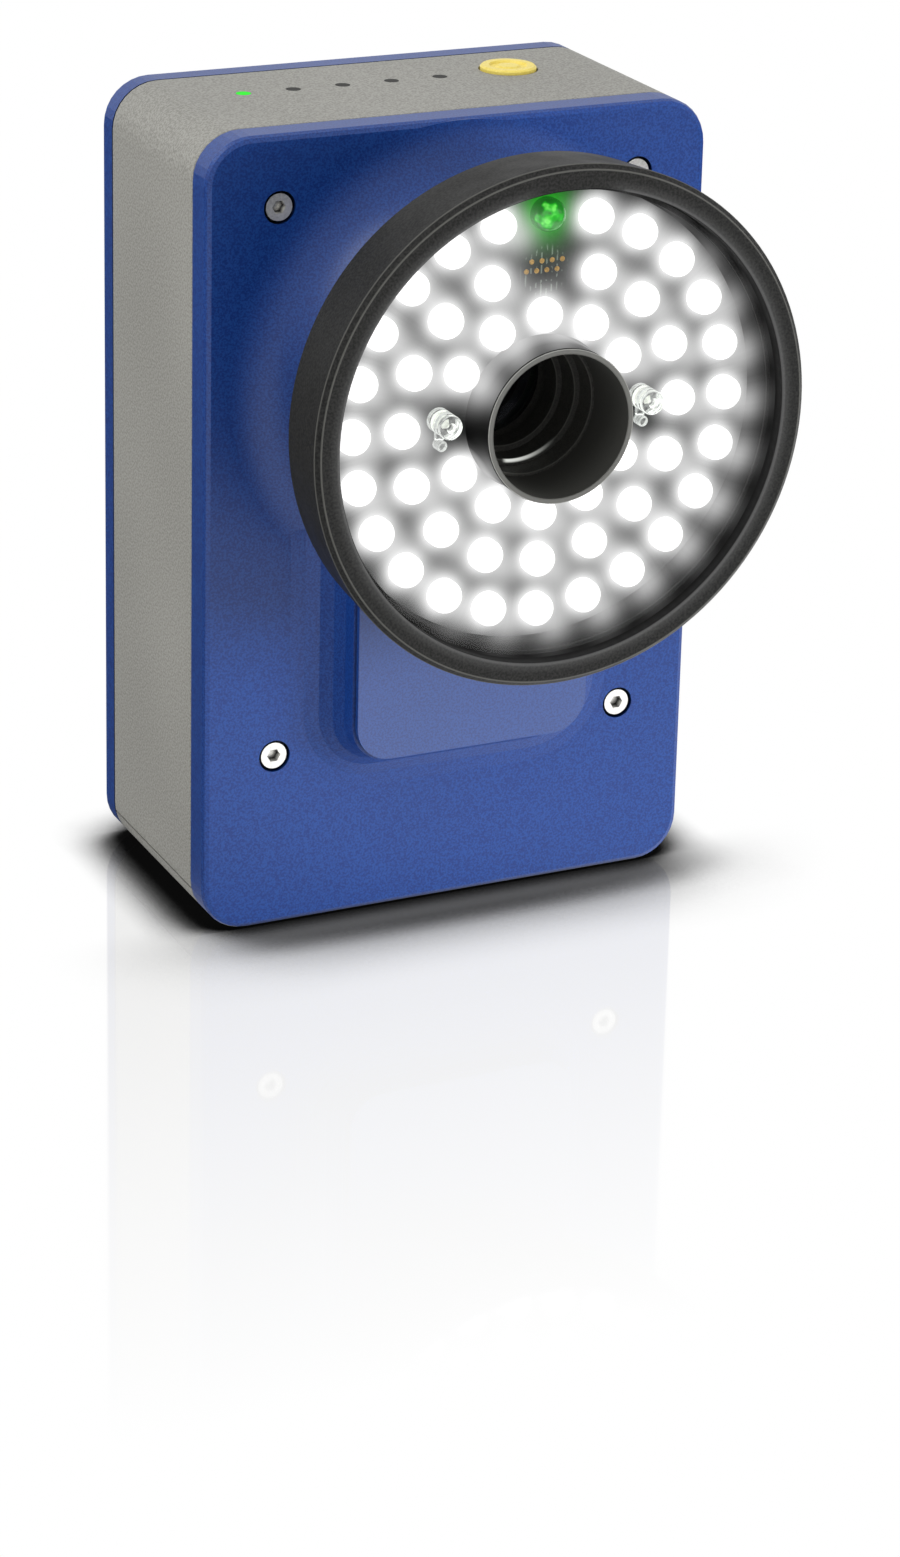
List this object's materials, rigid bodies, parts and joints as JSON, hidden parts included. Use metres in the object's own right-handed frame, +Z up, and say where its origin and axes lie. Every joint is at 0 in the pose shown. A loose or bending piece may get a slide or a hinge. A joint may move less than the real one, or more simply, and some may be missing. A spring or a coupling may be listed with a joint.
{
  "type": "fixed barcode reader",
  "caption": "Fixed image-based code reader: a box-shaped housing between two covers, with a large ring light standing forward on a flared boss around a recessed lens.",
  "frame": {"origin": "centre of the flat underside, midway between the front and rear faces", "axes": "+Z up, +X to the right seen from the front, the lens looks along -Y"},
  "size_m": [0.108, 0.116, 0.1672],
  "materials": {
    "blue_paint": "painted die casting, fine texture",
    "grey_paint": "painted extrusion, fine speckle",
    "steel": "plain",
    "rubber": "moulded",
    "black_metal": "black anodised, satin",
    "thermal_pad": "soft sheet",
    "board_black": "printed circuit board with dark mask",
    "led_package": "moulded",
    "led_white": "clear moulded lens, lit",
    "led_green": "tinted moulded lens, lit",
    "clear_plastic": "clear moulded lens",
    "gold_plate": "gold plated",
    "window_glass": "clear flat window",
    "lens_glass": "coated lens",
    "chip_black": "moulded",
    "board_green": "printed circuit board",
    "brass_post": "turned",
    "connector_metal": "nickel plated",
    "insert_black": "moulded",
    "lamp_package": "moulded",
    "light_pipe": "translucent moulded rod",
    "yellow_cap": "moulded"
  },
  "bodies": {
    "reader": {"front_cover": "blue_paint", "front_cover_screws": "steel", "front_gasket": "rubber", "main_housing": "grey_paint", "bottom_plate": "grey_paint", "bottom_gasket": "rubber", "bottom_plate_screws": "steel", "rear_cover": "blue_paint", "rear_gasket": "rubber", "rear_cover_screws": "steel", "ring_housing": "black_metal", "ring_screws": "steel", "ring_thermal_pad": "thermal_pad", "led_board": "board_black", "led_packages": "led_package", "led_lenses": "led_white", "spot_led": "led_green", "aimer_lenses": "clear_plastic", "contact_pads": "gold_plate", "ring_window": "window_glass", "window_seal": "rubber", "baffle_tube": "black_metal", "lens_barrel": "black_metal", "front_retaining_ring": "black_metal", "front_lens": "lens_glass", "focus_module": "chip_black", "rear_lens": "lens_glass", "rear_retaining_ring": "black_metal", "lens_holder": "black_metal", "lens_holder_screws": "steel", "sensor_board": "board_green", "image_sensor": "chip_black", "sensor_glass": "lens_glass", "main_board": "board_green", "main_board_posts": "brass_post", "main_board_screws": "steel", "processor": "chip_black", "processor_pad": "thermal_pad", "io_board": "board_green", "power_connector": "connector_metal", "power_insert": "insert_black", "power_pins": "gold_plate", "network_connector": "connector_metal", "network_insert": "insert_black", "network_pins": "gold_plate", "connector_seals": "rubber", "connector_nuts": "steel", "indicator_board": "board_green", "indicator_board_screws": "steel", "indicator_leds": "lamp_package", "light_pipes": "light_pipe", "button_seal": "rubber", "button_switch": "chip_black"},
    "button": {"push_button": "yellow_cap"}
  },
  "joints": [
    {"name": "button_press", "type": "slide", "parent": "reader", "child": "button", "axis": [0, 0, -1], "range_m": [0, 0.0008], "stiffness_N_per_m": 1500, "springref_m": -0.001}
  ]
}
